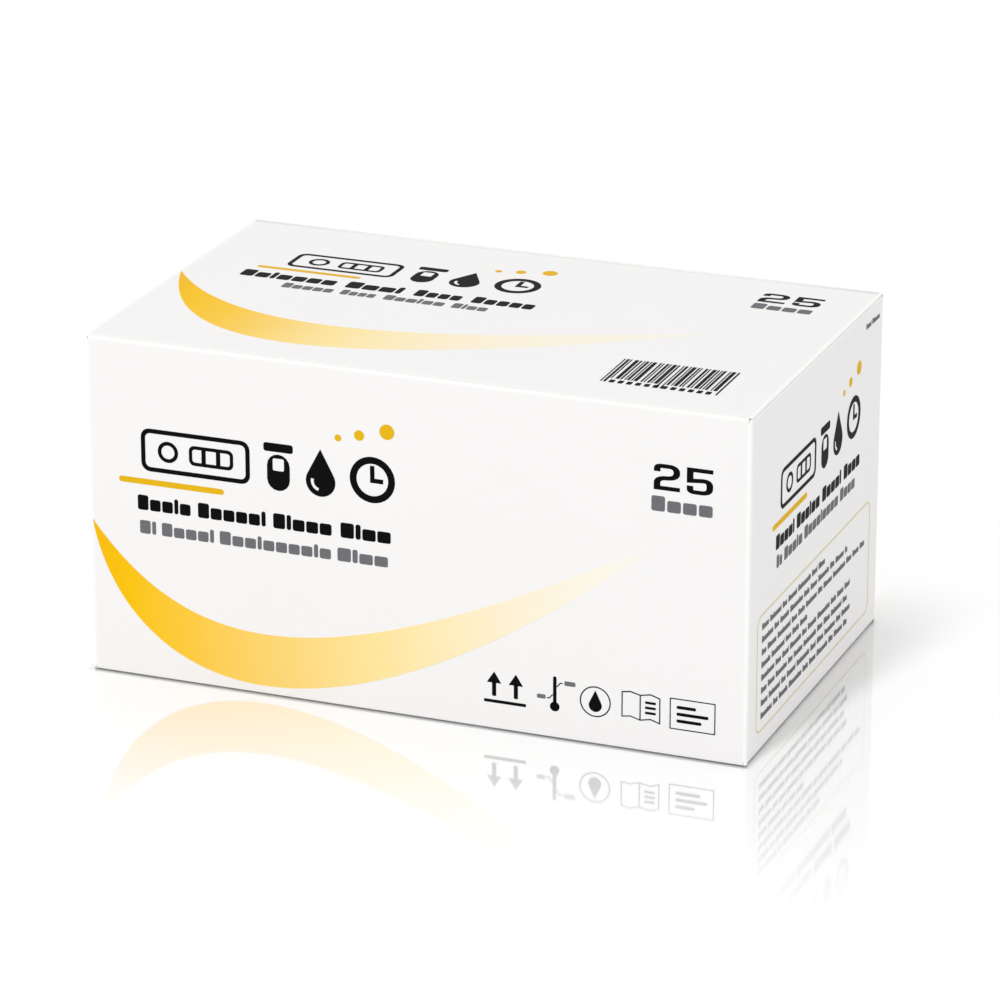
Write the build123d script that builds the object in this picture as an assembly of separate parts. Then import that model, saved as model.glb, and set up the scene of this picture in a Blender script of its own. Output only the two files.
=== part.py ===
from build123d import *
import os
from math import asin, cos, radians, sin

# A closed folding carton for a kit of rapid tests: a body folded and glued from one sheet
# of board, a lid that tucks in behind the front wall, and what the kit holds.
# The origin is the middle of the underside. +X runs along the printed front, to the right
# of someone who looks at it, the front faces -Y and +Z is up. Sizes are in millimetres.

# Board of the carton
board = 0.5
crease_inner_radius = 0.35
crease_radius = board + crease_inner_radius
crease_end_relief = 0.15
lid_gap = 0.1
seat_gap = 0.05

# Sealed pouches, on edge in one row along X
pouch_count = 25
pouch_width = 110.0
pouch_height = 76.0
pouch_thickness = 4.7
pouch_gap = 0.3
seal_margin = 8.0
sealed_foil = 0.4
device_length = 72.0
device_width = 22.0
tear_notch_depth = 2.0
tear_notch_drop = 15.0

# Sample tubes, upright in columns beside the pouches
tube_count = 25
tubes_in_column = 7
tube_columns = 4
tube_diameter = 13.6
tube_height = 54.0
cap_diameter = 15.6
cap_height = 14.0
cap_shoulder_height = 4.0
cap_shoulder_taper = 48.0
nozzle_diameter = 5.0
nozzle_height = 4.0
tube_gap = 0.4
tube_sides = 20
nozzle_sides = 12

# Folded leaflet, flat on top of the pouches
leaflet_length = 105.0
leaflet_width = 100.0
leaflet_leaves = 4
leaflet_paper = 0.25
leaflet_fold_gap = 0.35
leaflet_turn_flat = 0.02
leaflet_end_distance = 8.0

# Play of the contents in the carton
end_play = 1.5
middle_play = 2.0
side_play = 1.5
leaflet_room = 2.5

# Lid
tuck_depth = 20.0
tuck_corner_radius = 12.0
tuck_side_clearance = 1.2
tuck_front_clearance = 0.3
tuck_spare_lean = 2.0
slit_length = 8.0
slit_width = 0.5
lid_side_setback = 0.2
front_lip_drop = 0.2

# Flaps under the lid
dust_flap_reach = 52.0
dust_flap_front_relief = 4.5
dust_flap_back_relief = 1.0
dust_flap_shoulder = 9.0
dust_flap_taper = 10.0
dust_flap_corner = 6.0

# Bottom flaps and the glued seam
end_flap_reach = 45.0
end_flap_side_relief = 1.5
end_flap_taper = 20.0
end_flap_corner = 5.0
bottom_side_relief = 1.0
lock_tongue_half = 32.0
lock_step = 9.0
lock_slope = 6.0
bottom_seam = 0.4
glue_flap_width = 14.0
glue_flap_end_relief = 3.0
glue_flap_taper = 4.0

# Printed fields of colour. Each edge is one curve from the tip at the panel's left edge to
# the far end, with points in shares of the panel's length and height.
ink_film = 0.08
print_margin = 1.0
wall_sweep_tip_share = 0.455
wall_sweep_end = (0.882, 0.63)
wall_sweep_low_edge = [(0.043, 0.037), (0.309, -0.32)]
wall_sweep_high_edge = [(0.158, 0.072), (0.369, 0.057)]
lid_sweep_tip_share = 0.534
lid_sweep_end = (0.821, 0.53)
lid_sweep_low_edge = [(0.107, 0.024), (0.347, -0.072)]
lid_sweep_high_edge = [(0.251, -0.034), (0.691, 0.479)]

# Outer size, worked out from what the carton holds
pouch_pitch = pouch_thickness + pouch_gap
tube_pitch = cap_diameter + tube_gap
capped_tube_height = tube_height + cap_height + cap_shoulder_height + nozzle_height
contents_height = max(pouch_height, capped_tube_height)
inner_length = pouch_count * pouch_pitch + tube_columns * tube_pitch + 2 * end_play + middle_play
inner_width = max(pouch_width, tubes_in_column * tube_pitch) + 2 * side_play
floor_height = 2 * board
carton_length = inner_length + 2 * board
carton_width = inner_width + 2 * board
carton_height = floor_height + contents_height + leaflet_room + tuck_depth + board

left, right = -carton_length / 2, carton_length / 2
front, back = -carton_width / 2, carton_width / 2
flap_level = carton_height - board - lid_gap


def board_section(points):
    """Section of a folded sheet: its outer face runs through the points, the board lies left."""
    outer = FilletPolyline(*points, radius=crease_radius)
    return make_face(offset(outer, amount=board, side=Side.LEFT))


def plan_cutter(points, corner, rounded):
    """Upright prism over a flap's outline, with the corners numbered in rounded made round."""
    radii = [corner if index in rounded else 0 for index in range(len(points))]
    outline = FilletPolyline(*points, radius=radii, close=True)
    return extrude(make_face(outline), carton_height)


def mirrored_pair(solid, plane):
    """The solid and its mirror image."""
    return solid + mirror(solid, about=plane)


def wall_ring():
    """The four upright walls, with creased corners that run on past the folds to full height."""
    outer = RectangleRounded(carton_length, carton_width, crease_radius)
    inner = RectangleRounded(inner_length, inner_width, crease_inner_radius)
    walls = outer - inner
    corners = walls - Rectangle(carton_length - 2 * crease_radius, carton_width)
    corners -= Rectangle(carton_length, carton_width - 2 * crease_radius)
    low = board + crease_radius
    ring = extrude(walls, flap_level - crease_radius - low)
    return Pos(0, 0, low) * ring + extrude(corners, flap_level)


def long_walls():
    """Front and back wall, each turned in below to its half of the outer bottom."""
    wall_length = carton_length - 2 * (crease_radius + crease_end_relief)
    front_points = [(lock_step, 0), (front, 0), (front, carton_height - front_lip_drop)]
    back_points = [(back, flap_level), (back, 0), (-lock_step, 0)]
    walls = []
    for points, turned in ((front_points[::-1], False), (back_points[::-1], True)):
        section = Plane.YZ * board_section(points)
        wall = extrude(section, wall_length / 2, both=True)
        walls.append(wall - bottom_waste(turned))
    return walls[0] + walls[1]


def bottom_waste(of_back_flap):
    """What is die-cut from a half of the outer bottom: past the hooked seam, and the sides."""
    half_seam = bottom_seam / 2
    reach = carton_length
    steps = [(-reach, -1), (-lock_tongue_half - lock_slope, -1), (-lock_tongue_half, 1),
             (lock_tongue_half, 1), (lock_tongue_half + lock_slope, -1), (reach, -1)]
    shift = -half_seam if of_back_flap else half_seam
    seam = [(x, side * lock_step - shift) for x, side in steps]
    far = front - board if of_back_flap else back + board
    waste = extrude(make_face(Polyline(*seam, (reach, far), (-reach, far), close=True)), board)
    side_strip = Pos(right - bottom_side_relief, 0, 0) * Box(
        2 * bottom_side_relief, inner_width, board, align=(Align.MIN, Align.CENTER, Align.MIN))
    return waste + mirrored_pair(side_strip, Plane.YZ)


def end_walls():
    """End walls, each turned in below to a bottom flap and above to a dust flap."""
    middle = carton_height / 2
    wall_width = carton_width - 2 * (crease_radius + crease_end_relief)
    lower = [(right - end_flap_reach, board), (right, board), (right, middle)]
    upper = [(right, middle), (right, flap_level), (right - dust_flap_reach, flap_level)]
    pieces = []
    for points, cutter in ((lower, end_flap_cutter()), (upper, dust_flap_cutter())):
        section = Plane.XZ * board_section(points)
        pieces.append(extrude(section, wall_width / 2, both=True) & cutter)
    return mirrored_pair(pieces[0] + pieces[1], Plane.YZ)


def end_flap_cutter():
    """Plan of the inner bottom flap at the right end: a trapezoid with rounded corners."""
    fold = right - crease_radius
    side = inner_width / 2 - end_flap_side_relief
    tip = right - end_flap_reach
    points = [(right, front), (right, back), (fold, back), (fold, side),
              (tip, side - end_flap_taper), (tip, end_flap_taper - side), (fold, -side),
              (fold, front)]
    return plan_cutter(points, end_flap_corner, rounded=(4, 5))


def dust_flap_cutter():
    """Plan of the dust flap at the right end: relieved at the front for the lid's tuck flap."""
    fold = right - crease_radius
    tip = right - dust_flap_reach
    rear = back - board - dust_flap_back_relief
    near = front + board + dust_flap_front_relief
    shoulder = fold - dust_flap_shoulder
    points = [(right, front), (right, back), (fold, back), (fold, rear), (tip, rear),
              (tip, near + dust_flap_taper), (shoulder, near), (fold, near), (fold, front)]
    return plan_cutter(points, dust_flap_corner, rounded=(4, 5))


def glue_flap():
    """The narrow flap of the right end wall that is glued inside the back wall."""
    low = floor_height + glue_flap_end_relief
    high = flap_level - board - glue_flap_end_relief
    outer = right - board
    inner = outer - glue_flap_width
    outline = Polyline((outer, low), (outer, high), (inner, high - glue_flap_taper),
                       (inner, low + glue_flap_taper), close=True)
    return Pos(0, back - board, 0) * extrude(Plane.XZ * make_face(outline), board)


def carton_body():
    """The glued sheet: walls, bottom flaps, dust flaps and glue flap in one piece."""
    return wall_ring() + long_walls() + end_walls() + glue_flap()


def lid():
    """Top panel and tuck flap. The flap leans in so that its edge swings clear of the wall."""
    fold_line = front + board + tuck_front_clearance
    swing_radius = back - fold_line
    lean = asin(tuck_depth / (2 * swing_radius)) + radians(tuck_spare_lean)
    tuck_end = (fold_line + tuck_depth * sin(lean), carton_height - tuck_depth * cos(lean))
    section = board_section([(back, carton_height), (fold_line, carton_height), tuck_end])
    panel_length = carton_length - 2 * lid_side_setback
    folded = extrude(Plane.YZ * section, panel_length / 2, both=True)
    tuck_half = inner_length / 2 - tuck_side_clearance
    under_panel = carton_height - board
    outline = FilletPolyline(
        (-tuck_half, under_panel), (-tuck_half, tuck_end[1]), (tuck_half, tuck_end[1]),
        (tuck_half, under_panel), radius=[0, tuck_corner_radius, tuck_corner_radius, 0], close=True)
    silhouette = make_face(outline) + Pos(0, carton_height - board / 2) * Rectangle(panel_length, board)
    cut_to_shape = folded & extrude(Plane.XZ * silhouette, carton_width, both=True)
    slit = Pos(tuck_half - slit_length, fold_line - board, carton_height - crease_radius) * Box(
        carton_length, 4 * board, slit_width, align=(Align.MIN, Align.MIN, Align.MAX))
    return cut_to_shape - mirrored_pair(slit, Plane.YZ)


def sweep_field(panel, panel_size, tip_share, end, low_edge, high_edge):
    """One printed crescent on a panel: two curves that part at the tip and meet at the end."""
    def on_panel(point):
        return (point[0] * panel_size[0], point[1] * panel_size[1])

    start = (print_margin, tip_share * panel_size[1])
    finish = on_panel(end)
    low = Bezier(start, *[on_panel(point) for point in low_edge], finish)
    high = Bezier(finish, *[on_panel(point) for point in high_edge[::-1]], start)
    return extrude(panel * make_face([low, high]), ink_film)


def wall_sweep(panel):
    """The crescent on a long wall."""
    return sweep_field(panel, (carton_length, carton_height), wall_sweep_tip_share, wall_sweep_end,
                       wall_sweep_low_edge, wall_sweep_high_edge)


def lid_sweep():
    """The flatter crescent on the lid."""
    panel = Plane(origin=(left, front, carton_height), x_dir=(1, 0, 0), z_dir=(0, 0, 1))
    return sweep_field(panel, (carton_length, carton_width), lid_sweep_tip_share, lid_sweep_end,
                       lid_sweep_low_edge, lid_sweep_high_edge)


def floor_under(x_low, x_high):
    """Top of the bottom board under a stretch of X: two layers where an end flap lies."""
    flap_edge = right - end_flap_reach
    on_flap = x_high > flap_edge or x_low < -flap_edge
    return (floor_height if on_flap else board) + seat_gap


def sealed_pouch():
    """A foil pouch on edge: a flat seal with tear notches, raised over the device inside."""
    half_width, top = pouch_width / 2, pouch_height
    notch = top - tear_notch_drop
    notch_half = tear_notch_depth / 2
    side = [(half_width, 0), (half_width, notch - notch_half), (half_width - tear_notch_depth, notch),
            (half_width, notch + notch_half), (half_width, top)]
    other_side = [(-y, z) for y, z in side[::-1]]
    outline = Plane.YZ * make_face(Polyline(*side, *other_side, close=True))
    seal = extrude(outline, sealed_foil / 2, both=True)
    seen_from_above = belly_outline(pouch_width - 2 * seal_margin, device_length)
    seen_from_the_end = belly_outline(pouch_height - 2 * seal_margin, device_width)
    along = extrude(Plane.XY * seen_from_above, pouch_height / 2, both=True)
    across = extrude(Plane.XZ * seen_from_the_end, pouch_width / 2, both=True)
    return seal + Pos(0, 0, pouch_height / 2) * (along & across)


def belly_outline(foot, crown):
    """Outline of a pouch's belly: as wide as the seal lets it at the seam, flat on the device."""
    half = pouch_thickness / 2
    return make_face(Polyline((0, foot / 2), (half, crown / 2), (half, -crown / 2), (0, -foot / 2),
                              (-half, -crown / 2), (-half, crown / 2), close=True))


def sample_tube():
    """A sealed tube with its screw cap and the nozzle that snaps off."""
    cap_outline = RegularPolygon(cap_diameter / 2, tube_sides)
    tube = extrude(RegularPolygon(tube_diameter / 2, tube_sides), tube_height)
    cap = Pos(0, 0, tube_height) * extrude(cap_outline, cap_height)
    shoulder_level = tube_height + cap_height
    shoulder = Pos(0, 0, shoulder_level) * extrude(cap_outline, cap_shoulder_height,
                                                   taper=cap_shoulder_taper)
    nozzle = Pos(0, 0, shoulder_level) * extrude(RegularPolygon(nozzle_diameter / 2, nozzle_sides),
                                                 cap_shoulder_height + nozzle_height)
    return tube + cap + shoulder + nozzle


def leaflet():
    """A sheet of paper folded to and fro into a flat packet."""
    pitch = leaflet_paper + leaflet_fold_gap
    path = []
    for leaf in range(leaflet_leaves):
        ends = [(0, leaf * pitch), (leaflet_length, leaf * pitch)]
        path += ends if leaf % 2 == 0 else ends[::-1]
    turn_radius = (pitch - leaflet_turn_flat) / 2
    middle_line = FilletPolyline(*path, radius=turn_radius)
    section = make_face(offset(middle_line, amount=leaflet_paper / 2, side=Side.BOTH))
    packet = extrude(Plane.XZ * section, leaflet_width / 2, both=True)
    level = floor_height + pouch_height + 2 * seat_gap + leaflet_paper / 2
    return Pos(left + board + leaflet_end_distance, 0, level) * packet


def pouches():
    """The row of pouches, from the left end."""
    pouch = sealed_pouch()
    first = left + board + end_play + pouch_pitch / 2
    placed = {}
    for index in range(pouch_count):
        x = first + index * pouch_pitch
        level = floor_under(x - sealed_foil / 2, x + sealed_foil / 2)
        placed[f"pouch_{index + 1:02d}"] = Pos(x, 0, level) * pouch
    return placed


def sample_tubes():
    """The columns of tubes, from the right end, with the last column part full."""
    tube = sample_tube()
    last = right - board - end_play - tube_pitch / 2
    first_row = front + board + side_play + tube_pitch / 2
    placed = {}
    for index in range(tube_count):
        column, row = divmod(index, tubes_in_column)
        x = last - column * tube_pitch
        y = first_row + row * tube_pitch
        level = floor_under(x - tube_diameter / 2, x + tube_diameter / 2)
        placed[f"sample_tube_{index + 1:02d}"] = Pos(x, y, level) * tube
    return placed


front_panel = Plane(origin=(left, front, 0), x_dir=(1, 0, 0), z_dir=(0, -1, 0))
back_panel = Plane(origin=(right, back, 0), x_dir=(-1, 0, 0), z_dir=(0, 1, 0))

nodes = {
    "carton_body": carton_body(),
    "lid": lid(),
    "front_sweep": wall_sweep(front_panel),
    "back_sweep": wall_sweep(back_panel),
    "lid_sweep": lid_sweep(),
    "leaflet": leaflet(),
    **pouches(),
    **sample_tubes(),
}

os.makedirs("parts", exist_ok=True)
for name, solid in nodes.items():
    export_step(solid, f"parts/{name}.step")
print(f"carton {carton_length:.1f} x {carton_width:.1f} x {carton_height:.1f} mm, {len(nodes)} nodes")
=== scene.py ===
# %% [markdown]
# # A printed folding carton
# The object is a carton for a kit of rapid tests, folded from one sheet of coated board. This
# notebook gives it its finish: the coated board, the ink, the foil of the pouches and the plastic
# of the tubes. The frame is the one of the CAD model: the origin is the middle of the underside,
# the printed front faces -Y and +Z is up. Blender works in metres, and outlines are written in
# millimetres.

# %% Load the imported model
import bpy
import bmesh
from math import cos, pi, radians, sin
from mathutils import Matrix, Vector, noise
from mathutils.geometry import tessellate_polygon


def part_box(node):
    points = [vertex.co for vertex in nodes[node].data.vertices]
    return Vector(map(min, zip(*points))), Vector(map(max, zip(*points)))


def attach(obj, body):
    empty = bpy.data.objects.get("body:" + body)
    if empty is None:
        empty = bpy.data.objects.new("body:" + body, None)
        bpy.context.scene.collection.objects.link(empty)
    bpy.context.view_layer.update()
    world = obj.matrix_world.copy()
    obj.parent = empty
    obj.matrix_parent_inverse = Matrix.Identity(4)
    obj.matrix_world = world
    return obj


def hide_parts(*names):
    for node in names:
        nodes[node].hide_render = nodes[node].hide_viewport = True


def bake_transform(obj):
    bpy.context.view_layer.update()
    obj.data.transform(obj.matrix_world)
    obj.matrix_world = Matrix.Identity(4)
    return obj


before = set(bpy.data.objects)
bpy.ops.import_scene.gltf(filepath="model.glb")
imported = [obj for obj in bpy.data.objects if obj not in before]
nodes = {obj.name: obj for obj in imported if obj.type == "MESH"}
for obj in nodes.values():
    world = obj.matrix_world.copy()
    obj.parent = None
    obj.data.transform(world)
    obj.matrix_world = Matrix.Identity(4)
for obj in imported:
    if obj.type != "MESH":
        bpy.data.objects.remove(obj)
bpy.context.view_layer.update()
mm = 0.001

# %% [markdown]
# ## The camera
# The photograph is taken with a long lens, from the right of the front and from above. The lens,
# the angle and the distance were fitted to the corners of the carton, so the render can be laid
# over the photograph. The camera looks along its own -Z, so the three columns of its rotation are
# its right, its up and its back.

# %% Camera
azimuth, elevation = radians(21.37), radians(20.23)
aim_right, aim_up, camera_distance = 0.0031, 0.0414, 1.459


def linked(name, data):
    """A new object in the scene."""
    thing = bpy.data.objects.new(name, data)
    bpy.context.scene.collection.objects.link(thing)
    return thing


back = Vector((sin(azimuth) * cos(elevation), -cos(azimuth) * cos(elevation), sin(elevation)))
right = Vector((cos(azimuth), sin(azimuth), 0))
up = back.cross(right)
camera_data = bpy.data.cameras.new("camera")
camera_data.sensor_width, camera_data.lens = 36, 183.1
camera_data.clip_start, camera_data.clip_end = 0.05, 20
camera = linked("camera", camera_data)
camera.location = aim_right * right + aim_up * up + camera_distance * back
camera.rotation_mode = "QUATERNION"
camera.rotation_quaternion = Matrix((right, up, back)).transposed().to_quaternion()
bpy.context.scene.camera = camera
print("camera", [round(v, 3) for v in camera.location])

# %% [markdown]
# ## Shader maths as plain expressions
# A finish is a small sum: a base value, plus a little noise, times a mask. Blender writes such a
# sum as a chain of Math nodes, which is slow to build and hard to read. The class below wraps one
# socket of a node, and its operators add the Math nodes, so that `0.3 + 0.1 * noise` is one line.
# Colours don't go through Math nodes, which would turn them grey: they go through Mix.

# %% A socket that understands arithmetic
class Socket:
    """One output of a node. Arithmetic on it adds Math nodes."""

    def __init__(self, shader, socket):
        self.shader, self.socket = shader, socket

    def maths(self, operation, *values, clamp=False):
        return self.shader.add("ShaderNodeMath", {"operation": operation, "use_clamp": clamp}, *values)

    def then(self, operation):
        """A function of this value alone, such as SINE or FLOOR."""
        return self.maths(operation, self)

    def __add__(self, other):
        return self.maths("ADD", self, other)

    def __radd__(self, other):
        return self.maths("ADD", other, self)

    def __sub__(self, other):
        return self.maths("SUBTRACT", self, other)

    def __rsub__(self, other):
        return self.maths("SUBTRACT", other, self)

    def __mul__(self, other):
        return self.maths("MULTIPLY", self, other)

    def __rmul__(self, other):
        return self.maths("MULTIPLY", other, self)

    def __truediv__(self, other):
        return self.maths("DIVIDE", self, other)

    def __pow__(self, other):
        return self.maths("POWER", self, other)

    def __lt__(self, other):
        return self.maths("LESS_THAN", self, other)

    def __gt__(self, other):
        return self.maths("GREATER_THAN", self, other)

    def __abs__(self):
        return self.then("ABSOLUTE")

    def least(self, other):
        return self.maths("MINIMUM", self, other)

    def most(self, other):
        return self.maths("MAXIMUM", self, other)

    def clamped(self):
        return self.maths("ADD", self, 0.0, clamp=True)

    def rise(self, low, high):
        """0 below low, 1 above high and a soft step between. High may be the lower number."""
        return self.shader.add("ShaderNodeMapRange", {"interpolation_type": "SMOOTHSTEP"},
                               self, low, high, 0.0, 1.0)


class Shader:
    """The node tree of one material or of the world."""

    def __init__(self, owner):
        owner.use_nodes = True
        self.tree = owner.node_tree
        self.tree.nodes.clear()

    def add(self, kind, settings=None, *values, output=0, **named):
        """Adds one node: its settings first, then its sockets in order or by name."""
        node = self.tree.nodes.new(kind)
        for name, value in (settings or {}).items():
            if name == "stops":
                set_stops(node.color_ramp, value)
            else:
                setattr(node, name, value)
        inputs = [socket for socket in node.inputs if socket.enabled]
        for socket, value in zip(inputs, values):
            self.give(socket, value)
        for name, value in named.items():
            plain = name.replace("_", " ")
            self.give(next(s for s in inputs if s.name == plain), value)
        outputs = [socket for socket in node.outputs if socket.enabled]
        if not outputs:
            return None
        found = outputs[output] if isinstance(output, int) else node.outputs[output]
        return Socket(self, found)

    def give(self, socket, value):
        """A socket of the node gets a link or a plain value."""
        if isinstance(value, Socket):
            self.tree.links.new(value.socket, socket)
        else:
            socket.default_value = value

    def finish(self, **looks):
        """Ends a material with a Principled shader, whose sockets are given by name."""
        surface = self.add("ShaderNodeBsdfPrincipled", {}, **looks)
        self.add("ShaderNodeOutputMaterial", {}, surface)

    def position(self):
        """The point in the frame of the CAD model, in metres, and its X, Y and Z by themselves."""
        place = self.add("ShaderNodeTexCoord", {}, output="Object")
        split = self.add("ShaderNodeSeparateXYZ", {}, place).socket.node
        return place, *[Socket(self, split.outputs[axis]) for axis in "XYZ"]

    def seen(self):
        """1 for the rays that show the background: from the camera, a mirror or clear glass."""
        rays = self.add("ShaderNodeLightPath").socket.node.outputs
        from_camera, mirrored, clear = [Socket(self, rays[f"Is {kind} Ray"])
                                        for kind in ("Camera", "Glossy", "Transmission")]
        return from_camera.most(mirrored).most(clear)

    def noise(self, place, size, detail=2.0, roughness=0.5):
        """Soft noise from 0 to 1 with patches of about that size in metres."""
        return self.add("ShaderNodeTexNoise", {"noise_dimensions": "3D"}, place, 1 / size, detail,
                        roughness)

    def blend(self, mask, first, second):
        """The first colour where the mask is 0 and the second where it is 1."""
        return self.add("ShaderNodeMix", {"data_type": "RGBA"}, mask, first, second)

    def bump(self, height, distance, strength=1.0):
        """A bump from a height between 0 and 1, which stands for this distance in metres."""
        return self.add("ShaderNodeBump", {}, strength, distance, Height=height, output="Normal")


def set_stops(ramp, stops):
    """A colour ramp gets these stops, each a place from 0 to 1 and a colour."""
    while len(ramp.elements) > 1:
        ramp.elements.remove(ramp.elements[-1])
    for index, (place, colour) in enumerate(stops):
        stop = ramp.elements[0] if index == 0 else ramp.elements.new(place)
        stop.position, stop.color = place, colour


def linear(red, green, blue):
    """A colour as a screen shows it, 0 to 255, turned into Blender's linear colour."""
    parts = [value / 255 for value in (red, green, blue)]
    return (*[v / 12.92 if v <= 0.04045 else ((v + 0.055) / 1.055) ** 2.4 for v in parts], 1.0)


def new_material(name, finish):
    """A material whose nodes are added by a finish, which is a function that takes a Shader."""
    material = bpy.data.materials.new(name)
    finish(Shader(material))
    return material


print("shader helpers ready")

# %% [markdown]
# ## The coated board
# The carton is folded from board that is white and coated on its printed side, and bare and
# creamy on the side that looks inwards. One material does both: a mask asks whether the surface
# faces away from the middle of the carton. A second mask finds the points that are close to two
# outer planes at once, along the folds, and makes them paler, which is a painted highlight, and
# smoother. A third mask draws a thin grey line along the bottom folds, which is painted contact
# shade. The coating itself is only a trace of unevenness in its gloss and a very fine grain.

# %% Board
half_length, half_width, carton_height = 97.5 * mm, 58 * mm, 100 * mm
coated_white, cloudy_white = (0.895, 0.885, 0.88, 1), (0.88, 0.87, 0.865, 1)
# The paler white of the painted highlight along the folds.
fold_highlight_white = (0.95, 0.945, 0.935, 1)
# The grey of the painted contact shade along the bottom folds.
contact_shade_grey = (0.16, 0.155, 0.15, 1)
bare_cream, dark_cream = linear(226, 219, 203), linear(212, 203, 184)
fibre_size = mm / 1.5


def distance(first, second):
    """How far a point is from a line, from its distances to two planes through that line."""
    return (first * first + second * second) ** 0.5


def board_finish(shader):
    place, x, y, z = shader.position()
    to_end, to_side, to_top = half_length - abs(x), half_width - abs(y), carton_height - z
    folds = distance(to_end, to_side).least(distance(to_side, to_top))
    folds = folds.least(distance(to_end, to_top))
    # Painted highlight along the folds, broken up by noise; the same mask also makes the folds a
    # little smoother.
    highlight_patches = shader.noise(place, 5 * mm, 3.0)
    fold = folds.rise(1.7 * mm, 0.6 * mm) * (0.7 + 0.6 * highlight_patches).least(1.0)
    cloud = shader.noise(place, 28 * mm)
    grain = shader.noise(place, 0.45 * mm, 3.0)
    normal = shader.add("ShaderNodeTexCoord", {}, output="Normal")
    middle = (0, 0, carton_height / 2)
    from_middle = shader.add("ShaderNodeVectorMath", {"operation": "SUBTRACT"}, place, middle)
    facing = shader.add("ShaderNodeVectorMath", {"operation": "DOT_PRODUCT"}, normal, from_middle,
                        output="Value")
    inside = facing < 0
    outer = shader.blend(cloud, coated_white, cloudy_white)
    outer = shader.blend(fold, outer, fold_highlight_white)
    # Painted contact shade: a thin dark line on the outside of the bottom folds, just above the floor.
    foot = z.rise(0.62 * mm, 0.34 * mm) * to_end.least(to_side).rise(1.3 * mm, 0.9 * mm)
    outer = shader.blend(foot * 0.9, outer, contact_shade_grey)
    fibre = shader.noise(place, fibre_size, 5.0, 0.75)
    inner = shader.blend(fibre.rise(0.3, 0.75), bare_cream, dark_cream)
    relief = grain * (1 - inside) * 0.25 + fibre * inside
    shader.finish(Base_Color=shader.blend(inside, outer, inner),
                  Roughness=(0.40 + 0.08 * cloud - 0.10 * fold) * (1 - inside) + 0.85 * inside,
                  Normal=shader.bump(relief, 0.05 * mm, 0.35), IOR=1.45)


def paint_nodes(names, material):
    """The CAD nodes with these names get this material."""
    for name in names:
        for slot in nodes[name].material_slots:
            slot.material = material
    print(material.name, "on", len(names), "CAD nodes")


board = new_material("coated_board", board_finish)
paint_nodes(("carton_body", "lid"), board)

# %% [markdown]
# ## The ink
# Offset ink has no thickness to speak of, and this one dries matt. A low index of refraction keeps
# it from turning pale where it is seen at a flat angle, as on the lid. The big crescent is one ink
# that runs from a deep golden yellow to nothing, so its colour is a ramp along the panel as a
# reader sees it, which is the other way along X on the back. It ends on the white of the board, and
# on the lid it pales sooner. The black, grey and gold inks are plain, with a faint mottle where the
# ink didn't take evenly.

# %% Inks
ink_shine, ink_index = 0.3, 1.15
ramp_length, panel_skin = 170 * mm, 0.5 * mm
lid_lead = 0.16
crescent_stops = [
    (0.0, linear(242, 182, 0)), (0.07, linear(246, 193, 0)), (0.176, linear(248, 200, 60)),
    (0.353, linear(249, 214, 122)), (0.53, linear(251, 228, 161)), (0.65, linear(250, 234, 190)),
    (0.765, linear(249, 238, 214)), (0.882, linear(247, 243, 227)), (1.0, coated_white)]


def crescent_finish(shader):
    place, x, y, z = shader.position()
    on_back = y > half_width - panel_skin
    on_lid = z > carton_height - panel_skin
    along = (x * (1 - 2 * on_back) + half_length) / ramp_length
    along = along + lid_lead * on_lid * along.rise(0.15, 0.45) * along.rise(1.0, 0.55)
    ramp = shader.add("ShaderNodeValToRGB", {"stops": crescent_stops}, along.clamped())
    mottle = shader.noise(place, 0.9 * mm, 3.0)
    colour = shader.blend(mottle.rise(0.2, 0.9) * 0.05, ramp, linear(250, 222, 130))
    relief = shader.bump(shader.noise(place, 0.45 * mm, 3.0), 0.05 * mm, 0.1)
    shader.finish(Base_Color=colour, Roughness=0.42 + 0.08 * mottle, Normal=relief,
                  IOR=ink_index, Specular_IOR_Level=ink_shine)


def ink(name, colour, pale):
    """A plain ink: its colour, and the paler colour of the spots where it is thin."""
    def ink_finish(shader):
        mottle = shader.noise(shader.position()[0], 0.7 * mm, 3.0)
        tone = shader.blend(mottle.rise(0.35, 0.95) * 0.5, colour, pale)
        shader.finish(Base_Color=tone, Roughness=0.46 + 0.10 * mottle, IOR=ink_index,
                      Specular_IOR_Level=ink_shine)

    return new_material(name, ink_finish)


crescent = new_material("crescent_ink", crescent_finish)
paint_nodes(("front_sweep", "back_sweep", "lid_sweep"), crescent)
black_ink = ink("black_ink", linear(8, 8, 9), linear(28, 27, 28))
grey_ink = ink("grey_ink", linear(108, 108, 112), linear(134, 134, 138))
gold_ink = ink("gold_ink", linear(226, 178, 20), linear(240, 200, 62))
line_ink = ink("pale_line_ink", linear(214, 206, 158), linear(226, 219, 180))
print("inks:", [m.name for m in (crescent, black_ink, grey_ink, gold_ink, line_ink)])

# %% [markdown]
# ## Drawing on a panel
# Print on the carton is made of flat shapes. Each is an outline in millimetres on one panel,
# measured from the panel's lower left corner as a reader sees it, and becomes a slab as thin as a
# coat of varnish. An outline may have holes, and a line is turned into an outline by walking along
# it on both sides. Real geometry keeps every edge crisp at any distance, which a painted texture
# wouldn't.

# %% Outlines
bend_steps = 8


def arc(centre, radius, start, end, steps=6):
    """Points on an arc, from one angle to another in degrees."""
    angles = [radians(start + (end - start) * step / steps) for step in range(steps + 1)]
    return [(centre[0] + radius * cos(t), centre[1] + radius * sin(t)) for t in angles]


def disc(u, v, radius):
    return arc((u, v), radius, 0, 360, 32)[:-1]


def pad(u0, v0, u1, v1, radius=0.4):
    """A rectangle with round corners, which leave at least a short straight piece on each side."""
    radius = min(radius, (u1 - u0) / 2 - 0.01, (v1 - v0) / 2 - 0.01)
    corners = [(u1 - radius, v1 - radius, 0), (u0 + radius, v1 - radius, 90),
               (u0 + radius, v0 + radius, 180), (u1 - radius, v0 + radius, 270)]
    return [p for u, v, turn in corners for p in arc((u, v), radius, turn, turn + 90, 4)]


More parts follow.
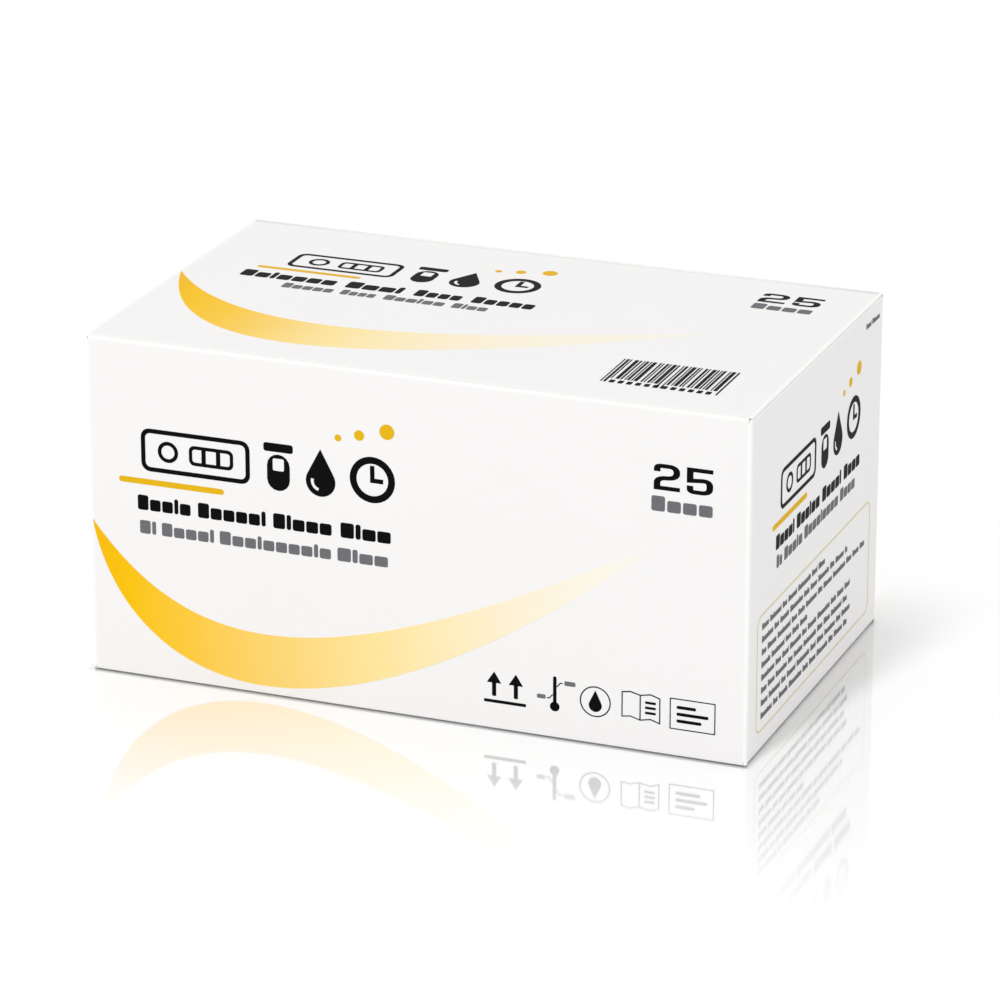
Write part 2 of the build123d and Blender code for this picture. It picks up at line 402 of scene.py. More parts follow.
def rounded(points, radii):
    """A path whose inner corners become curves of about these radii. 0 keeps a corner sharp."""
    path = [Vector(points[0])]
    for before, corner, after, radius in zip(points, points[1:], points[2:], radii):
        here = Vector(corner)
        leg_in, leg_out = Vector(before) - here, Vector(after) - here
        cut = min(radius, leg_in.length / 2, leg_out.length / 2)
        first, last = here + leg_in.normalized() * cut, here + leg_out.normalized() * cut
        for step in range(bend_steps + 1 if radius else 1):
            t = step / bend_steps
            bend = first.lerp(here, t).lerp(here.lerp(last, t), t)
            if (bend - path[-1]).length > 0.001:
                path.append(bend)
    return path + [Vector(points[-1])]


def stroke(path, width):
    """The outline of a line of this width along a path, with square ends and short mitres."""
    path = [Vector(p) for p in path]
    left_side, right_side = [], []
    for index, point in enumerate(path):
        before, after = path[max(index - 1, 0)], path[min(index + 1, len(path) - 1)]
        into = (point - before).normalized() if index else (after - point).normalized()
        out = (after - point).normalized() if index < len(path) - 1 else into
        bisector = (into + out).normalized()
        normal = Vector((-bisector.y, bisector.x))
        spread = width / 2 / max(normal.dot(Vector((-into.y, into.x))), 0.35)
        left_side.append(tuple(point + normal * spread))
        right_side.append(tuple(point - normal * spread))
    return left_side + right_side[::-1]


def moved(loop, u, v, scale=1.0):
    return [(u + scale * a, v + scale * b) for a, b in loop]


print("outline helpers ready, a pad has", len(pad(0, 0, 4, 2)), "points")

# %% [markdown]
# ## From points to a piece
# Each mesh here is built point by point in a bmesh, the kind of mesh that can be edited. Nearly all
# its faces come from strips between two rows of points: the wall of a slab, the crease of the lid,
# the foil, the tubes and the leaflet. The points then become mesh data with a material, and an
# object shows that data, so several objects can share one mesh.

# %% Meshes and pieces
def add_strip(mesh, low_row, high_row, closed=False):
    """Faces between two rows of points, and from the last back to the first in a closed ring."""
    if closed:
        low_row, high_row = low_row + low_row[:1], high_row + high_row[:1]
    for a, b, c, d in zip(low_row, low_row[1:], high_row[1:], high_row):
        mesh.faces.new((a, b, c, d))


def mesh_data(name, mesh, material, sharp_angle=None):
    """A bmesh as mesh data with one material. It is smooth up to an angle, if one is given."""
    data = bpy.data.meshes.new(name)
    mesh.to_mesh(data)
    mesh.free()
    data.materials.append(material)
    if sharp_angle is not None:
        data.shade_smooth()
        data.set_sharp_from_angle(angle=radians(sharp_angle))
    return data


def new_piece(name, data):
    """An object with this mesh data."""
    piece = linked(name, data)
    return piece


print("mesh helpers ready")

# %% Panels
ink_coat = 0.06 * mm


class Panel:
    """One printed face of the carton, with the shapes that are printed on it in each ink."""

    def __init__(self, name, body, corner, across, upwards):
        self.name, self.body = name, body
        self.corner, self.across, self.upwards = Vector(corner), Vector(across), Vector(upwards)
        self.outwards = self.across.cross(self.upwards)
        self.shapes = {}

    def draw(self, ink_used, *loops):
        """The first loop is an outline and the others are holes in it."""
        self.shapes.setdefault(ink_used.name, []).append(loops)

    def point(self, place, lift):
        on_panel = (self.across * place[0] + self.upwards * place[1]) * mm
        return self.corner + on_panel + self.outwards * lift

    def make_pieces(self):
        """One thin mesh for each ink on this panel."""
        made = []
        for ink_name, shapes in self.shapes.items():
            mesh = bmesh.new()
            for loops in shapes:
                self.add_slab(mesh, loops)
            bmesh.ops.recalc_face_normals(mesh, faces=mesh.faces)
            name = f"{self.name}_{ink_name}"
            data = mesh_data(name, mesh, bpy.data.materials[ink_name])
            piece = new_piece(name, data)
            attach(piece, self.body)
            made.append(piece)
        return made

    def add_slab(self, mesh, loops):
        """A slab as thick as the coat: its two faces, then the wall along each loop."""
        places = [place for loop in loops for place in loop]
        low = [mesh.verts.new(self.point(place, 0)) for place in places]
        high = [mesh.verts.new(self.point(place, ink_coat)) for place in places]
        for triangle in tessellate_polygon([[Vector((u, v, 0)) for u, v in loop] for loop in loops]):
            mesh.faces.new([high[i] for i in triangle])
            mesh.faces.new([low[i] for i in reversed(triangle)])
        first = 0
        for loop in loops:
            last = first + len(loop)
            add_strip(mesh, low[first:last], high[first:last], closed=True)
            first = last


front_panel = Panel("front", "carton", (-half_length, -half_width, 0), (1, 0, 0), (0, 0, 1))
lid_panel = Panel("lid", "lid", (-half_length, -half_width, carton_height), (1, 0, 0), (0, 1, 0))
end_panel = Panel("end", "carton", (half_length, -half_width, 0), (0, 1, 0), (0, 0, 1))
print("panels:", [p.name for p in (front_panel, lid_panel, end_panel)])

# %% [markdown]
# ## The heading
# The cassette is drawn in thin lines and the rest is bold. A straight gold bar and three dots give
# the heading the second colour of the print. Below it stand lines of words, each word a row of
# blank blocks.

# %% Heading and lines of words
block_gap, slim_block, low_block, block_corner = 0.15, 0.45, 0.76, 0.14


def draw_heading(panel, u, v, scale=1.0):
    def put(ink_used, *loops):
        panel.draw(ink_used, *[moved(loop, u, v, scale) for loop in loops])

    # Cassette
    put(black_ink, pad(0, 0.2, 33, 12.8, 2.6), pad(1.3, 1.5, 31.7, 11.5, 1.5))
    put(black_ink, disc(8.2, 6.5, 3.1), disc(8.2, 6.5, 2.0))
    put(black_ink, pad(14.6, 3.6, 28, 9.4, 1.6), pad(15.6, 4.6, 27, 8.4, 0.8))
    for line in (18.4, 22.8):
        put(black_ink, pad(line, 4.5, line + 1.3, 8.5, 0.05))
    # Tube and its cap
    put(black_ink, pad(38.2, -0.4, 45.0, 10.2, 3.4), pad(39.9, 5.4, 43.3, 9.0, 0.5))
    put(black_ink, pad(37.2, 10.9, 46.0, 13.4, 0.7))
    # Drop with a highlight
    put(black_ink, [(54.2, 13.4)] + arc((54.2, 4.0), 4.4, 28, -208, 22),
        stroke(arc((54.2, 4.0), 2.5, 165, 255, 8), 0.9))
    # Clock
    put(black_ink, disc(69.6, 6.5, 6.7), disc(69.6, 6.5, 4.7))
    put(black_ink, stroke([(69.6, 10.6), (69.6, 6.3), (72.8, 6.3)], 1.3))
    # Bar and dots
    put(gold_ink, pad(-7, -3.9, 25, -2.2, 0.8))
    for centre_u, centre_v, radius in ((59.5, 17.4, 1.0), (65.8, 18.9, 1.5), (74, 20.9, 2.2)):
        put(gold_ink, disc(centre_u, centre_v, radius))


def draw_word(panel, ink_used, start, end, base, tall, pitch):
    """A word as a row of round-cornered blocks, the way text is laid out before it is set."""
    count = max(2, round((end - start) / pitch))
    slim = [index > 0 and (index * 3 + round(start)) % 5 == 4 for index in range(count)]
    shares = [slim_block if is_slim else 1.0 for is_slim in slim]
    unit = (end - start + block_gap * pitch) / sum(shares)
    for index, share in enumerate(shares):
        high = tall if index == 0 or slim[index] else low_block * tall
        wide = unit * share - block_gap * pitch
        panel.draw(ink_used, pad(start, base, start + wide, base + high, block_corner * tall))
        start += unit * share


def draw_line(panel, ink_used, base, tall, words, pitch=3.35):
    """A line of words on one base line, each given by where it starts and ends."""
    for start, end in words:
        draw_word(panel, ink_used, start, end, base, tall, pitch)


draw_heading(front_panel, 16.5, 61.8)
draw_line(front_panel, black_ink, 50.3, 4.4, [(15.1, 31.2), (33.5, 54), (56.3, 73.8), (76.5, 91.4)])
draw_line(front_panel, grey_ink, 43.3, 3.9, [(15.6, 20.5), (22.3, 38.2), (40, 73.5), (75.5, 90.5)])
draw_heading(lid_panel, 26.6, 77.2)
draw_line(lid_panel, black_ink, 64.8, 5.6, [(17.8, 47), (50.5, 67.5), (71.5, 85.5), (89, 107.5)],
          pitch=4.0)
draw_line(lid_panel, grey_ink, 58.5, 4.2, [(33.5, 49), (51.5, 62), (64.8, 83), (85.5, 96)],
          pitch=2.9)
draw_heading(end_panel, 25.3, 65, 0.93)
draw_line(end_panel, black_ink, 54.9, 4.2, [(22, 37.8), (40, 60), (62.5, 79.5), (82, 96.4)])
draw_line(end_panel, grey_ink, 49.4, 3.7, [(22.9, 27.5), (29.5, 45), (47, 77), (79, 92.3)])
print("front has", {name: len(s) for name, s in front_panel.shapes.items()})

# %% [markdown]
# ## The number of tests
# Such cartons give the number of tests in a wide, squarish face with heavy uprights. A plain number
# is drawn here as a path along the middle of each figure, with most of its corners rounded. The
# path gets a width and is then pulled wider, which makes the upright strokes the heavy ones.

# %% Number
line_share, width_share, bend_share = 0.155, 0.47, 0.2
figure_pitch, figure_stretch = 1.26, 1.6


def draw_count(panel, u, v, height):
    """The number 25, with its lower left corner at u, v. All sizes are shares of its height."""
    line = height * line_share
    w, h = height * width_share, height - line
    bend = height * bend_share
    two = [(0, h * 0.74), (0, h), (w, h), (w, h * 0.5), (0, h * 0.43), (0, 0), (w + line / 2, 0)]
    five = [(w + line / 2, h), (0, h), (0, h * 0.5), (w, h * 0.58), (w, 0), (0, 0), (0, h * 0.27)]
    figures = [(two, (bend, bend, bend, bend, 0)), (five, (0, 0, bend, bend, bend))]
    for place, (path, radii) in enumerate(figures):
        first = u + place * height * figure_pitch
        outline = stroke(rounded(path, radii), line)
        panel.draw(black_ink, [(first + figure_stretch * (a + line / 2), v + line / 2 + b)
                               for a, b in outline])


draw_count(front_panel, 167.6, 76.6, 7.4)
draw_line(front_panel, grey_ink, 70.5, 4.3, [(167.0, 184.3)], pitch=4.3)
draw_count(lid_panel, 164.0, 95.4, 7.9)
draw_line(lid_panel, grey_ink, 89.1, 4.7, [(164.0, 181.6)], pitch=4.4)
print("number drawn on the front and the lid")

# %% [markdown]
# ## Handling signs, bars and the table on the end
# A row of small signs stands along the bottom of the front: this way up, temperature, keep dry,
# read the leaflet and a boxed note. The lid has a block of bars, drawn with widths that repeat and
# encode nothing. The right end has a thin rounded frame with rows of small print, which is far too
# small to read at this distance, so each word is a row of tiny blank blocks.

# %% Signs
bars_start, bars_end, bars_foot, bars_top = 146.8, 180.0, 17.4, 34.0
guard_foot, guard_bars = 14.2, (0, 1, 14, 15, 29)
bar_widths, bar_gaps = (0.36, 0.72, 0.36, 1.05, 0.5), (0.5, 0.36, 0.9, 0.4, 0.62, 0.36)
row_ends, row_pitch, row_start = (69, 87, 103, 51, 90, 88, 92, 88), 3.72, 11.5
word_lengths, word_gap = (5.6, 9.5, 3.8, 7.4, 11.0, 4.6), 1.2


def draw_signs(panel):
    # This way up
    panel.draw(black_ink, pad(118.8, 8.0, 131.2, 8.9, 0.3))
    for u in (121.8, 128.2):
        panel.draw(black_ink, pad(u - 0.6, 10.0, u + 0.6, 14.2, 0.2))
        panel.draw(black_ink, [(u - 2.1, 13.9), (u + 2.1, 13.9), (u, 17.2)])
    # Temperature: a bulb, its stem and two blank tags on hooks
    panel.draw(black_ink, disc(139.6, 9.5, 1.4))
    panel.draw(black_ink, pad(139.1, 10.4, 140.1, 18.4, 0.5))
    panel.draw(black_ink, stroke([(140.2, 15.4), (141.2, 16.6), (141.9, 16.6)], 0.3))
    panel.draw(grey_ink, pad(142.4, 16.1, 145.6, 17.4, 0.3))
    panel.draw(black_ink, stroke([(139.0, 13.0), (138.0, 11.8), (137.3, 11.8)], 0.3))
    panel.draw(grey_ink, pad(134.4, 11.4, 136.9, 12.6, 0.3))
    # Keep dry: a drop in a ring
    panel.draw(black_ink, disc(151.4, 12.7, 4.5), disc(151.4, 12.7, 4.15))
    panel.draw(black_ink, [(151.4, 16.0)] + arc((151.4, 11.6), 1.9, 30, -210, 14))
    # Leaflet: an open booklet with lines on its right page
    spread = [(159.0, 9.5), (159.0, 17.0), (161.6, 17.4), (164.4, 16.7), (167.4, 17.3),
              (170.2, 16.4), (170.2, 8.8), (167.4, 9.7), (164.4, 9.1), (161.6, 9.9)]
    left_page = [(159.32, 9.85), (159.32, 16.7), (161.6, 17.05), (164.22, 16.4), (164.22, 9.45),
                 (161.6, 10.22)]
    right_page = [(164.55, 9.45), (164.55, 16.4), (167.4, 16.95), (169.88, 16.15),
                  (169.88, 9.25), (167.4, 10.05)]
    panel.draw(black_ink, spread, left_page, right_page)
    for v in (11.3, 12.8, 14.3):
        panel.draw(black_ink, pad(165.8, v, 168.9, v + 0.7, 0.2))
    # Boxed note
    panel.draw(black_ink, pad(172.9, 8.1, 186.0, 17.2, 0.2), pad(173.2, 8.4, 185.7, 16.9, 0.1))
    for v, end in ((10.2, 182.0), (12.2, 184.0), (14.2, 180.4)):
        panel.draw(black_ink, pad(174.9, v, end, v + 0.9, 0.3))


def draw_bars(panel):
    u, index = bars_start, 0
    while u < bars_end:
        foot = guard_foot if index in guard_bars else bars_foot
        wide = bar_widths[index % len(bar_widths)]
        panel.draw(black_ink, pad(u, foot, min(u + wide, 180.3), bars_top, 0.02))
        u += wide + bar_gaps[index % len(bar_gaps)]
        index += 1
    for step in range(12):
        start = 149.2 + step * 2.5
        panel.draw(black_ink, pad(start, 14.0, start + 1.5, 16.3, 0.3))


def draw_table(panel):
    panel.draw(line_ink, pad(7.4, 6.0, 108.0, 40.4, 3.2), pad(7.85, 6.45, 107.55, 39.95, 2.8))
    for row, end in enumerate(row_ends):
        level, start, word = 35.6 - row * row_pitch, row_start, row
        while start < end - 2:
            length = min(word_lengths[word % len(word_lengths)], end - start)
            draw_word(panel, grey_ink, start, start + length, level, 1.9, 1.25)
            start += length + word_gap
            word += 1
    draw_line(panel, grey_ink, 93.7, 1.6, [(100.0, 104.6), (105.6, 112.4)], pitch=1.1)


draw_signs(front_panel)
draw_bars(lid_panel)
draw_table(end_panel)
prints = [piece for panel in (front_panel, lid_panel, end_panel) for piece in panel.make_pieces()]
print(len(prints), "printed pieces:", [p.name for p in prints])

# %% [markdown]
# ## The crease of the lid
# In the real sheet the lid runs on into the back wall over a crease. The CAD model has a lid that
# turns on a hinge there, so a narrow strip of board is laid over the hinge line.

# %% Crease strip
strip_bend, strip_proud, strip_skin = 0.6, 0.03, 0.12
strip_stations = (-96.6, -32, 32, 96.6)
never_sharp = 180


def strip_side(depth):
    """One side of the strip's section in millimetres, this far below its outer face."""
    outer_y, outer_z = 58 + strip_proud, 100 + strip_proud
    turn = arc((outer_y - strip_bend, outer_z - strip_bend), strip_bend - depth, 0, 90, 8)
    return [(outer_y - depth, 97.5), (outer_y - depth, 98.4), *turn,
            (56.6, outer_z - depth), (55.6, outer_z - depth)]


def crease_shape():
    outer = strip_side(0)
    loop = outer + strip_side(strip_skin)[::-1]
    mesh = bmesh.new()
    rings = [[mesh.verts.new((x * mm, y * mm, z * mm)) for y, z in loop] for x in strip_stations]
    for first, second in zip(rings, rings[1:]):
        add_strip(mesh, first, second, closed=True)
    for ring in (rings[0], rings[-1]):
        for step in range(len(outer) - 1):
            mesh.faces.new([ring[step], ring[step + 1], ring[-2 - step], ring[-1 - step]])
    bmesh.ops.recalc_face_normals(mesh, faces=mesh.faces)
    return mesh


strip_data = mesh_data("lid_crease", crease_shape(), board, never_sharp)
strip = new_piece("lid_crease", strip_data)
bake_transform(strip)
print("crease strip", len(strip_data.polygons), "faces")

# %% [markdown]
# ## Foil pouches
# Each test is sealed in a flat foil pouch: two sheets of laminate that are welded along all four
# sides and swell over the plastic device between them. The foil never lies flat, because it is
# stiff and keeps every fold. Each sheet is a grid of points here. Its height comes from how far a
# point is from the weld, and creases are taken off where the foil hangs free. Five shapes are made
# and used in turn, so that no two neighbours are alike and the mesh data stays small. The weld
# has a fine diamond pattern, pressed in by the sealing bars, which is left to the bump.

# %% Pouches
pouch_half_width, pouch_tall = 55.0, 76.0
weld, device_half = 8.0, (36.0, 11.0)
swell_most, foil_half = 2.1, 0.2
notch_level, notch_deep = 61.0, 2.0
grid_step, columns_across, rows_up = 2.0, 56, 39
pouch_variants, diamond = 5, 1.7 * mm


def swell(y, z):
    """0 on the weld and 1 over the device, with a soft slope between."""
    side_room = pouch_half_width - weld
    edge_room = pouch_tall / 2 - weld
    from_side = (side_room - abs(y)) / (side_room - device_half[0])
    from_edge = (edge_room - abs(z - pouch_tall / 2)) / (edge_room - device_half[1])
    rise = max(0.0, min(from_side, from_edge, 1.0))
    return rise * rise * (3 - 2 * rise)


def pouch_point(side, y, z, variant):
    """A point of one sheet, in metres. The weld at the top leans a little to one side."""
    bulge = swell(y, z)
    crease = noise.turbulence(Vector((y / 13, z / 13, 7.0 * variant + side)), 3, True)
    dent = abs(noise.noise(Vector((y / 24, z / 20, 3.0 * variant + 50 * side))))
    slack = bulge * (1.25 - bulge)
    depth = max(foil_half, foil_half + swell_most * bulge - slack * (0.9 * crease + 0.5 * dent))
    top = max(0.0, (z - pouch_tall + 2 * weld) / (2 * weld))
    lean = (0.9 * noise.noise(Vector((y / 45, 0.3, 11.0 * variant))) + 0.35) * top * top
    wave = 0.5 * noise.noise(Vector((y / 9, z / 9, 5.0 * variant))) * (1 - bulge) * top
    return [value * mm for value in (side * depth + lean + wave, y, z)]


def rim(grid):
    """The border points of a sheet, once round."""
    right_side = [row[-1] for row in grid[1:]]
    left_side = [row[0] for row in grid[-2:0:-1]]
    return grid[0] + right_side + grid[-1][-2::-1] + left_side


def pouch_shape(variant):
    """Two sheets that are joined round their rims, with a tear notch cut into each side."""
    columns = [grid_step * step - pouch_half_width for step in range(columns_across)]
    at_notch = {notch_level - 1, notch_level, notch_level + 1}
    rows = sorted({grid_step * step for step in range(rows_up)} | at_notch)
    mesh = bmesh.new()
    rims = []
    for side in (-1, 1):
        grid = []
        for z in rows:
            cut = notch_deep * max(0.0, 1 - abs(z - notch_level))
            reach = 1 - cut / pouch_half_width
            grid.append([mesh.verts.new(pouch_point(side, y * reach, z, variant)) for y in columns])
        for low_row, high_row in zip(grid, grid[1:]):
            add_strip(mesh, low_row, high_row)
        rims.append(rim(grid))
    add_strip(mesh, rims[0], rims[1], closed=True)
    bmesh.ops.recalc_face_normals(mesh, faces=mesh.faces)
    return mesh


def foil_finish(shader):
    place, _, y, z = shader.position()
    crinkle = shader.noise(place, 6 * mm, 4.0, 0.6)
    fine = shader.noise(place, 1.1 * mm, 2.0)
    turn = 2 * pi / diamond
    diamonds = ((y + z) * turn).then("SINE") * ((y - z) * turn).then("SINE")
    past_side = abs(y) > (pouch_half_width - weld) * mm
    past_edge = abs(z - pouch_tall / 2 * mm) > (pouch_tall / 2 - weld) * mm
    welded = past_side.most(past_edge)
    colour = shader.blend(crinkle, (0.72, 0.73, 0.75, 1), (0.86, 0.87, 0.88, 1))
    relief = 0.5 * crinkle + 0.12 * fine + 0.16 * welded * diamonds
    shader.finish(Base_Color=colour, Metallic=1.0, Roughness=0.25 + 0.15 * fine + 0.08 * welded,
                  Normal=shader.bump(relief, 0.7 * mm, 0.6))


def stand_for(node_name, piece_name, data):
    """A finished piece takes the place of a CAD node, over the middle of the node's foot."""
    foot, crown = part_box(node_name)
    piece = new_piece(piece_name, data)
    piece.location = ((foot.x + crown.x) / 2, (foot.y + crown.y) / 2, foot.z)
    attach(piece, "carton")
    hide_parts(node_name)
    return piece


foil = new_material("pouch_foil", foil_finish)
pouch_shapes = [mesh_data(f"pouch_shape_{variant}", pouch_shape(variant), foil, sharp_angle=40)
                for variant in range(pouch_variants)]
pouch_names = sorted(name for name in nodes if name.startswith("pouch"))
for index, name in enumerate(pouch_names):
    stand_for(name, f"foil_{name}", pouch_shapes[index * 3 % pouch_variants])
print(len(pouch_names), "pouches,", len(pouch_shapes[0].polygons), "faces each")

# %% [markdown]
# ## Sample tubes
# The tubes are blown from soft, slightly cloudy plastic and close with a ribbed screw cap, whose
# nozzle snaps off to let drops out. A tube is a turned shape, so it is built from rings of points,
# one for each step of its outline. On the cap every second point of a ring stands out by the depth
# of a rib. All the tubes share one mesh.

# %% Sample tubes
tube_points_round, rib_depth = 60, 0.16
tube_outline = [(0, 4.6), (0.9, 6.1), (2.6, 6.7), (53.9, 6.7), (54, 7.4), (54.8, 7.6), (66.8, 7.6),
                (67.7, 7.25), (68.3, 6.2), (71, 3.2), (72, 2.4), (75, 2.1), (75.8, 1.6), (76, 0.9)]
below_ribs, rib_levels = 6, (55.6, 66.0)
cap_foot, fill_level = 54 * mm, 41 * mm


def tube_ring(mesh, z, radius, rib=0):
    ring = []
    for step in range(tube_points_round):
        turn = 2 * pi * step / tube_points_round
        reach = (radius + rib * (step % 2)) * mm
        ring.append(mesh.verts.new((reach * cos(turn), reach * sin(turn), z * mm)))
    return ring


def tube_shape():
    mesh = bmesh.new()
    cap_radius = tube_outline[below_ribs][1]
    rings = [tube_ring(mesh, z, radius) for z, radius in tube_outline[:below_ribs]]
    rings += [tube_ring(mesh, z, cap_radius, rib_depth) for z in rib_levels]
    rings += [tube_ring(mesh, z, radius) for z, radius in tube_outline[below_ribs:]]
    for low_ring, high_ring in zip(rings, rings[1:]):
        add_strip(mesh, low_ring, high_ring, closed=True)
    mesh.faces.new(rings[0])
    mesh.faces.new(rings[-1])
    bmesh.ops.recalc_face_normals(mesh, faces=mesh.faces)
    return mesh


def tube_finish(shader):
    place, _, _, z = shader.position()
    cloud = shader.noise(place, 4 * mm, 3.0)
    on_cap = z > cap_foot
    full = z.rise(fill_level, fill_level - 0.8 * mm)
    wall = shader.blend(cloud, (0.70, 0.73, 0.75, 1), (0.76, 0.78, 0.79, 1))
    wall = shader.blend(full * 0.6, wall, (0.60, 0.66, 0.70, 1))
    cap = shader.blend(cloud, (0.84, 0.84, 0.83, 1), (0.89, 0.89, 0.88, 1))
    shader.finish(Base_Color=shader.blend(on_cap, wall, cap),
                  Roughness=0.26 + 0.14 * on_cap + 0.06 * cloud,
                  Normal=shader.bump(cloud, 0.06 * mm, 0.3), IOR=1.49)


tube_plastic = new_material("tube_plastic", tube_finish)
tube_mesh = mesh_data("tube_shape", tube_shape(), tube_plastic, sharp_angle=35)
tube_names = sorted(name for name in nodes if name.startswith("sample_tube"))
for name in tube_names:
    stand_for(name, f"ribbed_{name}", tube_mesh)
print(len(tube_names), "tubes,", len(tube_mesh.polygons), "faces each")

# %% [markdown]
# ## The leaflet
# The leaflet lies on the pouches: one sheet of thin paper, folded to and fro into four leaves. It
# is one long strip of faces that turns back on itself three times, with a solidify modifier for the
# paper. Paper that has been folded springs open a little, so the upper leaves rise towards one end.
# Print shows as rows of grey dashes, made by a noise that is stretched along each row and cut off
# at one level. A real row of words looks like that from an arm's length.

# %% Leaflet
leaf_long, leaf_wide, leaf_pitch, fold_radius = 105.0, 100.0, 0.6, 0.28
leaf_lift = (0.0, 0.0, 0.35, 1.5)
steps_long, steps_wide = 14, 10
paper_thickness, paper_level = 0.2 * mm, 0.13
row_height, row_shift = 2.5 * mm, 9 * mm


def leaf_path():
    """The points of the sheet's section in millimetres, from one end of the strip to the other."""
    path = []
    for leaf, lift in enumerate(leaf_lift):
        run = [fold_radius + (leaf_long - 2 * fold_radius) * step / steps_long
               for step in range(steps_long + 1)]
        leaf_points = [(x, leaf * leaf_pitch + lift * (1 - x / leaf_long) ** 2) for x in run]
        path += leaf_points[::-1] if leaf % 2 else leaf_points
    return path


def leaflet_shape():
    mesh = bmesh.new()
    rows = []
    for x, z in leaf_path():
        row = []
        for step in range(steps_wide + 1):
            y = leaf_wide * (step / steps_wide - 0.5)
            flutter = 0.25 * noise.noise(Vector((x / 40, y / 30, 0.7))) * (z > 2.5 * leaf_pitch)
            height = z + paper_level + flutter
            row.append(mesh.verts.new(((x - leaf_long / 2) * mm, y * mm, height * mm)))
        rows.append(row)
    for first_row, second_row in zip(rows, rows[1:]):
        add_strip(mesh, first_row, second_row)
    return mesh


def leaflet_finish(shader):
    place, x, y, _ = shader.position()
    fibre = shader.noise(place, 0.7 * mm, 3.0)
    row = y / row_height
    along_row = shader.add("ShaderNodeCombineXYZ", {}, x, row.then("FLOOR") * row_shift, 0.0)
    words = shader.noise(along_row, 2.4 * mm, 1.0) > 0.43
    in_row = (row + 100.0).then("FRACT") < 0.4
    from_gutter = abs(x)
    in_column = (from_gutter > 2.5 * mm) * (from_gutter < 47 * mm) * (abs(y + 5 * mm) < 40 * mm)
    title = (abs(y - 42 * mm) < 2 * mm) * (abs(x + 22 * mm) < 25 * mm)
    printed = (words * in_row * in_column).most(title)
    colour = shader.blend(fibre, (0.85, 0.85, 0.83, 1), (0.89, 0.89, 0.87, 1))
    colour = shader.blend(printed * 0.75, colour, linear(70, 70, 74))
    shader.finish(Base_Color=colour, Roughness=0.75 + 0.1 * fibre, IOR=1.45,
                  Normal=shader.bump(fibre, 0.03 * mm, 0.4))


paper = new_material("leaflet_paper", leaflet_finish)
leaflet_data = mesh_data("leaflet", leaflet_shape(), paper, sharp_angle=60)
leaflet = stand_for("leaflet", "folded_leaflet", leaflet_data)
solid_paper = leaflet.modifiers.new("paper", "SOLIDIFY")
solid_paper.thickness, solid_paper.offset = paper_thickness, 0
print("leaflet of", len(leaf_lift), "leaves")

# %% [markdown]
# ## Floor and light
# The photograph is cut out on white, with a faint mirror image below the carton and a pale shadow
# to its right. The floor is white for the camera and still takes the shadow. A thin mirror layer
# is mixed in near the carton and fades out away from it. The light is a pale dome with one large
# soft lamp to the front left, low enough to make the front the brightest face. The white that is
# added for the camera is left out beside the right end and in the narrow gap under the fold, where
# the photograph shows the shadow and a thin dark line.

# %% Floor
pure_white, floor_white, shadow_grey = (1, 1, 1, 1), (0.86, 0.86, 0.86, 1), (0.7, 0.695, 0.69, 1)
floor_reach, shadow_turn = 5, radians(13)
mirror_most, mirror_reach, mirror_blur = 0.42, 118 * mm, 0.05
white_share, white_glow = 0.5, 1.2


def end_shadow(x, y):
    """1 in the wedge of shadow that starts at the front right corner and runs back past the end."""
    past_end, past_corner = x - half_length, y + half_width
    across = past_end * cos(shadow_turn) - past_corner * sin(shadow_turn)
    blur = 1.5 * mm + 0.07 * past_corner.most(0.0)
    wedge = (across / blur).rise(0.6, -1.2)
    behind_corner = past_corner.rise(-1 * mm, 3 * mm) * y.rise(100 * mm, 45 * mm)
    return wedge * behind_corner * past_end.rise(-12 * mm, -1 * mm)


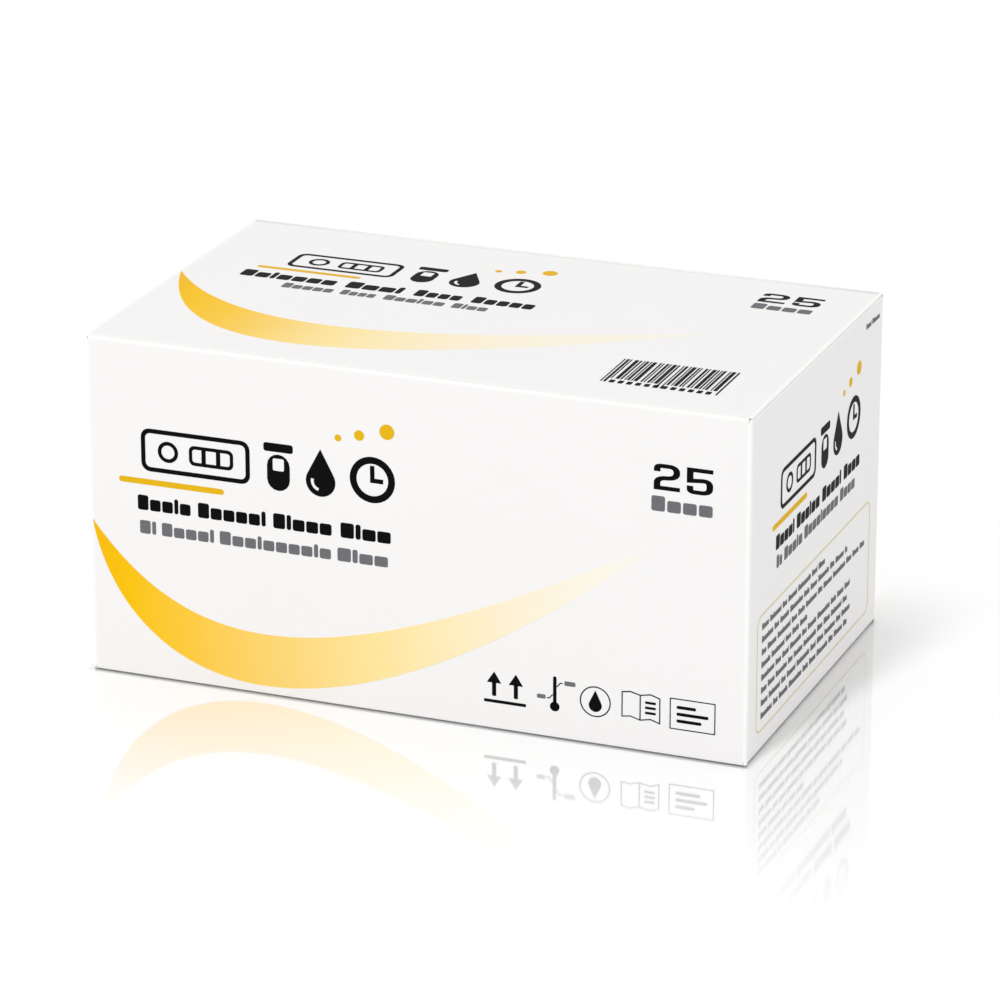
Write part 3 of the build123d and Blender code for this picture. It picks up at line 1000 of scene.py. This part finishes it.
def floor_finish(shader):
    _, x, y, _ = shader.position()
    beyond_end = (abs(x) - half_length).most(0.0)
    beyond_side = (abs(y) - half_width).most(0.0)
    away = distance(beyond_end, beyond_side)
    shadow, seen = end_shadow(x, y), shader.seen()
    mirror = mirror_most * away.rise(mirror_reach, -6 * mm)
    unshaded = 1 - shadow * beyond_end.rise(50 * mm, 6 * mm)
    whiteness = white_share * away.rise(0.2 * mm, 2.5 * mm) * unshaded
    tone = shader.blend(shadow * beyond_end.rise(22 * mm, 0.0), floor_white, shadow_grey)
    matt = shader.add("ShaderNodeBsdfDiffuse", {}, shader.blend(seen, floor_white, tone))
    white = shader.add("ShaderNodeEmission", {}, pure_white, white_glow)
    paper_white = shader.add("ShaderNodeMixShader", {}, whiteness * seen, matt, white)
    gloss = shader.add("ShaderNodeBsdfGlossy", {}, pure_white, mirror_blur)
    whole = shader.add("ShaderNodeMixShader", {}, mirror * seen, paper_white, gloss)
    shader.add("ShaderNodeOutputMaterial", {}, whole)


floor_mesh = bmesh.new()
bmesh.ops.create_grid(floor_mesh, x_segments=1, y_segments=1, size=floor_reach)
floor = linked("floor", mesh_data("floor", floor_mesh, new_material("floor", floor_finish)))
print("floor laid")

# %% Light
dome_strength, background_strength = 0.95, 1.0
lamp_watts, lamp_size, lamp_place = 6.8, 1.0, (-0.45, -1.75, 1.0)

world = bpy.data.worlds.new("studio")
bpy.context.scene.world = world
sky = Shader(world)
dome = sky.add("ShaderNodeBackground", {}, pure_white, dome_strength)
white_wall = sky.add("ShaderNodeBackground", {}, pure_white, background_strength)
sky_mix = sky.add("ShaderNodeMixShader", {}, sky.seen(), dome, white_wall)
sky.add("ShaderNodeOutputWorld", {}, sky_mix)

lamp_data = bpy.data.lights.new("soft_lamp", "AREA")
lamp_data.shape, lamp_data.size, lamp_data.energy = "DISK", lamp_size, lamp_watts
lamp = linked("soft_lamp", lamp_data)
lamp.location = lamp_place
lamp.rotation_mode = "QUATERNION"
lamp.rotation_quaternion = lamp.location.to_track_quat("Z", "Y")
bpy.context.scene.view_settings.view_transform = "Standard"
print("dome", dome_strength, "lamp", lamp_watts, "W")
